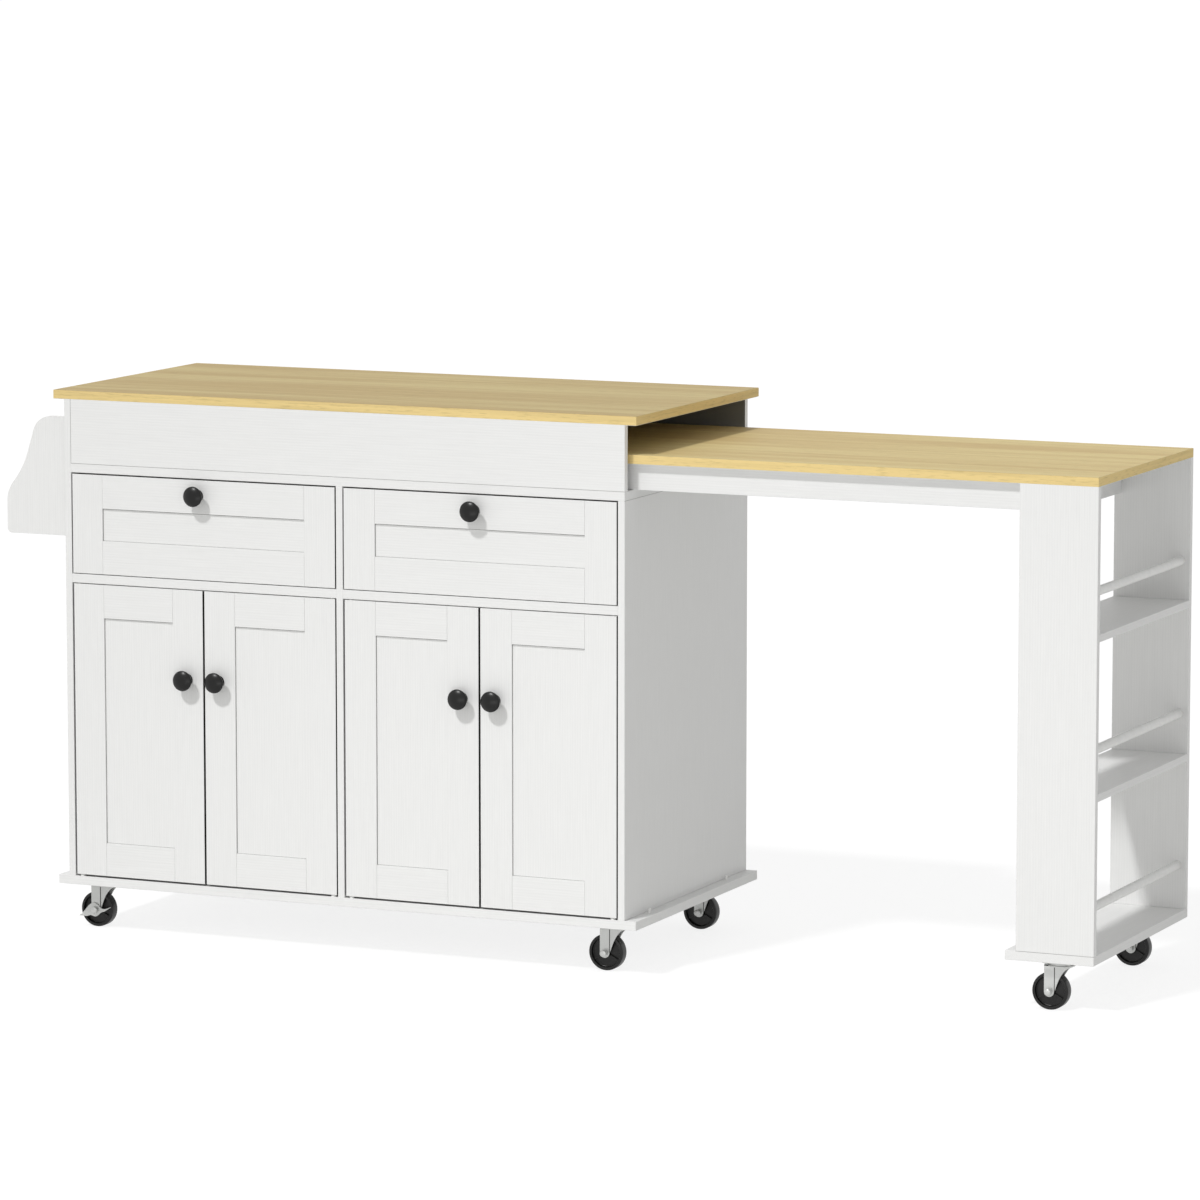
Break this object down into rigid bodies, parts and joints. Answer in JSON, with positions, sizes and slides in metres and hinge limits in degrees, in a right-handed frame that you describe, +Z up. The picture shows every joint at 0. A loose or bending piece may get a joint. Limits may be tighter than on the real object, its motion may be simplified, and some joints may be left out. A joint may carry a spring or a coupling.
{
  "type": "extending kitchen island",
  "caption": "Rolling kitchen island with drawers over framed doors, a pull-out table carried by a narrow rack on casters, and a towel rail on its left side.",
  "frame": {"origin": "on the floor under the middle of the whole piece with its table pulled out", "axes": "+X along the worktop towards the pulled-out table, +Y from the doors to the back, +Z up"},
  "size_m": [1.943, 0.535, 0.914],
  "materials": {
    "oak_laminate": "satin light oak laminate",
    "white_board": "matt white foil with a fine embossed wood grain",
    "white_paint": "satin white paint on round wooden rails",
    "black_knob": "satin black",
    "zinc_steel": "bright zinc plate",
    "black_wheel": "moulded black plastic",
    "white_plastic": "moulded white plastic"
  },
  "bodies": {
    "cabinet": {"worktop": "oak_laminate", "base_board": "white_board", "side_left": "white_board", "side_right": "white_board", "divider": "white_board", "sub_top": "white_board", "drawer_boards": "white_board", "hutch_front": "white_board", "hutch_back": "white_board", "back_panels": "white_board", "shelves": "white_board", "shelf_pins": "zinc_steel", "pivot_pins": "white_plastic", "corner_pegs": "white_plastic", "stop_block": "white_board", "runner_channels": "zinc_steel", "towel_brackets": "white_board", "towel_rail": "white_paint", "caster_plates": "zinc_steel"},
    "table": {"table_top": "oak_laminate", "table_apron_front": "white_board", "table_apron_back": "white_board", "table_cross_rails": "white_board", "rack_wall_front": "white_board", "rack_wall_back": "white_board", "rack_shelves": "white_board", "rack_base": "white_board", "rack_rails": "white_paint", "rack_caster_plates": "zinc_steel"},
    "drawer_left": {"drawer_front_left": "white_board", "drawer_box_left": "white_board", "drawer_runners_left": "zinc_steel", "drawer_knob_left": "black_knob"},
    "drawer_right": {"drawer_front_right": "white_board", "drawer_box_right": "white_board", "drawer_runners_right": "zinc_steel", "drawer_knob_right": "black_knob"},
    "door_1": {"door_1": "white_board", "door_knob_1": "black_knob"},
    "door_2": {"door_2": "white_board", "door_knob_2": "black_knob"},
    "door_3": {"door_3": "white_board", "door_knob_3": "black_knob"},
    "door_4": {"door_4": "white_board", "door_knob_4": "black_knob"},
    "swivel_front_left": {"fork_front_left": "zinc_steel"},
    "wheel_front_left": {"wheel_front_left": "black_wheel"},
    "swivel_front_right": {"fork_front_right": "zinc_steel"},
    "wheel_front_right": {"wheel_front_right": "black_wheel"},
    "swivel_back_left": {"fork_back_left": "zinc_steel"},
    "wheel_back_left": {"wheel_back_left": "black_wheel"},
    "swivel_back_right": {"fork_back_right": "zinc_steel"},
    "wheel_back_right": {"wheel_back_right": "black_wheel"},
    "swivel_rack_front": {"fork_rack_front": "zinc_steel"},
    "wheel_rack_front": {"wheel_rack_front": "black_wheel"},
    "swivel_rack_back": {"fork_rack_back": "zinc_steel"},
    "wheel_rack_back": {"wheel_rack_back": "black_wheel"},
    "brake_front_left": {"brake_front_left": "zinc_steel"},
    "brake_back_left": {"brake_back_left": "zinc_steel"}
  },
  "joints": [
    {"name": "table_slide", "type": "slide", "parent": "cabinet", "child": "table", "axis": [1, 0, 0], "range_m": [-0.624, 0]},
    {"name": "drawer_left_slide", "type": "slide", "parent": "cabinet", "child": "drawer_left", "axis": [0, -1, 0], "range_m": [0, 0.33]},
    {"name": "drawer_right_slide", "type": "slide", "parent": "cabinet", "child": "drawer_right", "axis": [0, -1, 0], "range_m": [0, 0.33]},
    {"name": "door_1_hinge", "type": "hinge", "parent": "cabinet", "child": "door_1", "pos_m": [-0.818, -0.2365, 0.3444], "axis": [0, 0, -1], "range_deg": [0, 110]},
    {"name": "door_2_hinge", "type": "hinge", "parent": "cabinet", "child": "door_2", "pos_m": [-0.348, -0.2365, 0.3444], "axis": [0, 0, 1], "range_deg": [0, 85]},
    {"name": "door_3_hinge", "type": "hinge", "parent": "cabinet", "child": "door_3", "pos_m": [-0.314, -0.2365, 0.3444], "axis": [0, 0, -1], "range_deg": [0, 85]},
    {"name": "door_4_hinge", "type": "hinge", "parent": "cabinet", "child": "door_4", "pos_m": [0.156, -0.2365, 0.3444], "axis": [0, 0, 1], "range_deg": [0, 110]},
    {"name": "swivel_front_left_turn", "type": "hinge", "parent": "cabinet", "child": "swivel_front_left", "pos_m": [-0.8015, -0.1825, 0.08], "axis": [0, 0, 1], "continuous": true},
    {"name": "wheel_front_left_roll", "type": "hinge", "parent": "swivel_front_left", "child": "wheel_front_left", "pos_m": [-0.8175, -0.1825, 0.03], "axis": [0, 1, 0], "continuous": true},
    {"name": "brake_front_left_press", "type": "hinge", "parent": "swivel_front_left", "child": "brake_front_left", "pos_m": [-0.8175, -0.1825, 0.03], "axis": [0, -1, 0], "range_deg": [0, 20]},
    {"name": "swivel_front_right_turn", "type": "hinge", "parent": "cabinet", "child": "swivel_front_right", "pos_m": [0.1385, -0.1825, 0.08], "axis": [0, 0, 1], "continuous": true},
    {"name": "wheel_front_right_roll", "type": "hinge", "parent": "swivel_front_right", "child": "wheel_front_right", "pos_m": [0.1225, -0.1825, 0.03], "axis": [0, 1, 0], "continuous": true},
    {"name": "swivel_back_left_turn", "type": "hinge", "parent": "cabinet", "child": "swivel_back_left", "pos_m": [-0.8015, 0.2075, 0.08], "axis": [0, 0, 1], "continuous": true},
    {"name": "wheel_back_left_roll", "type": "hinge", "parent": "swivel_back_left", "child": "wheel_back_left", "pos_m": [-0.8175, 0.2075, 0.03], "axis": [0, 1, 0], "continuous": true},
    {"name": "brake_back_left_press", "type": "hinge", "parent": "swivel_back_left", "child": "brake_back_left", "pos_m": [-0.8175, 0.2075, 0.03], "axis": [0, -1, 0], "range_deg": [0, 20]},
    {"name": "swivel_back_right_turn", "type": "hinge", "parent": "cabinet", "child": "swivel_back_right", "pos_m": [0.1385, 0.2075, 0.08], "axis": [0, 0, 1], "continuous": true},
    {"name": "wheel_back_right_roll", "type": "hinge", "parent": "swivel_back_right", "child": "wheel_back_right", "pos_m": [0.1225, 0.2075, 0.03], "axis": [0, 1, 0], "continuous": true},
    {"name": "swivel_rack_front_turn", "type": "hinge", "parent": "table", "child": "swivel_rack_front", "pos_m": [0.9065, -0.1885, 0.08], "axis": [0, 0, 1], "continuous": true},
    {"name": "wheel_rack_front_roll", "type": "hinge", "parent": "swivel_rack_front", "child": "wheel_rack_front", "pos_m": [0.8905, -0.1885, 0.03], "axis": [0, 1, 0], "continuous": true},
    {"name": "swivel_rack_back_turn", "type": "hinge", "parent": "table", "child": "swivel_rack_back", "pos_m": [0.9065, 0.2035, 0.08], "axis": [0, 0, 1], "continuous": true},
    {"name": "wheel_rack_back_roll", "type": "hinge", "parent": "swivel_rack_back", "child": "wheel_rack_back", "pos_m": [0.8905, 0.2035, 0.03], "axis": [0, 1, 0], "continuous": true}
  ]
}
